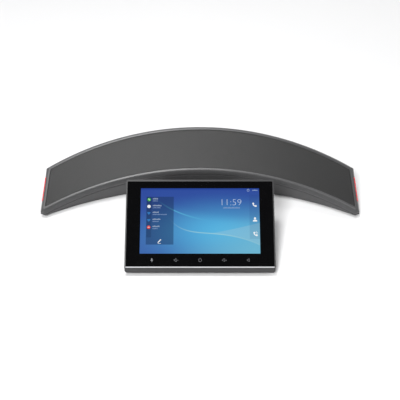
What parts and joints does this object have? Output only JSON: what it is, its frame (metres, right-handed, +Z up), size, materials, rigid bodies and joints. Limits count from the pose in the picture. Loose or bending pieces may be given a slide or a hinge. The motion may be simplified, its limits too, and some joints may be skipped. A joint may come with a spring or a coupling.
{
  "type": "conference desk phone",
  "caption": "Desktop conference phone: a bow-shaped wedge speaker base with a cloth top and status lights, and a tilting touch display on a hinged neck.",
  "frame": {"origin": "on the table, centred under the whole phone", "axes": "+X to the right as the user sees it, +Y to the rear, +Z up; the display faces -Y and up"},
  "size_m": [0.4428, 0.2284, 0.0755],
  "materials": {
    "shell": "fine matt moulded plastic, charcoal",
    "carrier": "plain moulded plastic",
    "speaker_cloth": "fine tight acoustic weave, grey",
    "status_lens": "translucent red lens, lit",
    "circuit_board": "green solder mask",
    "soft_seal": "soft black foam and rubber",
    "pressed_steel": "plated pressed steel",
    "paper_cone": "pressed pulp, black",
    "magnet_steel": "ferrite ring with steel plates",
    "connector_plastic": "glass-filled black plastic",
    "button_plastic": "plain white plastic",
    "screw_steel": "zinc-plated steel",
    "foot_rubber": "soft matt rubber",
    "hinge_steel": "dark plated steel",
    "cover_glass": "black-printed cover glass, gloss",
    "panel_glass": "display cell",
    "panel_tray": "thin bare metal tray",
    "display_shell": "fine matt moulded plastic, near black",
    "bright_trim": "cut and polished edge strip"
  },
  "bodies": {
    "base": {"lower_shell": "shell", "upper_shell": "shell", "grille_carrier": "carrier", "grille_cloth": "speaker_cloth", "status_lens_left": "status_lens", "status_lens_right": "status_lens", "status_board_left": "circuit_board", "status_board_right": "circuit_board", "speaker_gasket": "soft_seal", "speaker_basket": "pressed_steel", "speaker_surround": "soft_seal", "speaker_cone": "paper_cone", "speaker_dust_cap": "paper_cone", "speaker_magnet": "magnet_steel", "microphones": "pressed_steel", "main_board": "circuit_board", "shield_can": "pressed_steel", "board_connectors": "connector_plastic", "dc_jack": "connector_plastic", "usb_c_jack": "pressed_steel", "usb_a_jack": "pressed_steel", "ethernet_jack": "connector_plastic", "port_housing": "carrier", "reset_switch": "connector_plastic", "case_screws": "screw_steel", "board_screws": "screw_steel", "rubber_feet": "foot_rubber", "neck_cover": "shell", "hinge_arm": "hinge_steel", "arm_screws": "screw_steel"},
    "reset_button": {"reset_button": "button_plastic"},
    "display": {"hinge_pin": "hinge_steel", "hinge_ear_left": "hinge_steel", "hinge_ear_right": "hinge_steel", "ear_screws": "screw_steel", "front_glass": "cover_glass", "glass_adhesive": "soft_seal", "lcd_cell": "panel_glass", "lcd_backlight": "panel_tray", "touch_key_board": "circuit_board", "display_frame": "display_shell", "chin_trim": "bright_trim", "back_cover": "display_shell", "display_board": "circuit_board", "display_board_screws": "screw_steel", "display_screws": "screw_steel"}
  },
  "joints": [
    {"name": "display_tilt", "type": "hinge", "parent": "base", "child": "display", "pos_m": [0, -0.09513, 0.00813], "axis": [1, 0, 0], "range_deg": [-10, 14]},
    {"name": "reset_press", "type": "slide", "parent": "base", "child": "reset_button", "axis": [0, 0, 1], "range_m": [0, 0.00035], "stiffness_N_per_m": 2000}
  ]
}
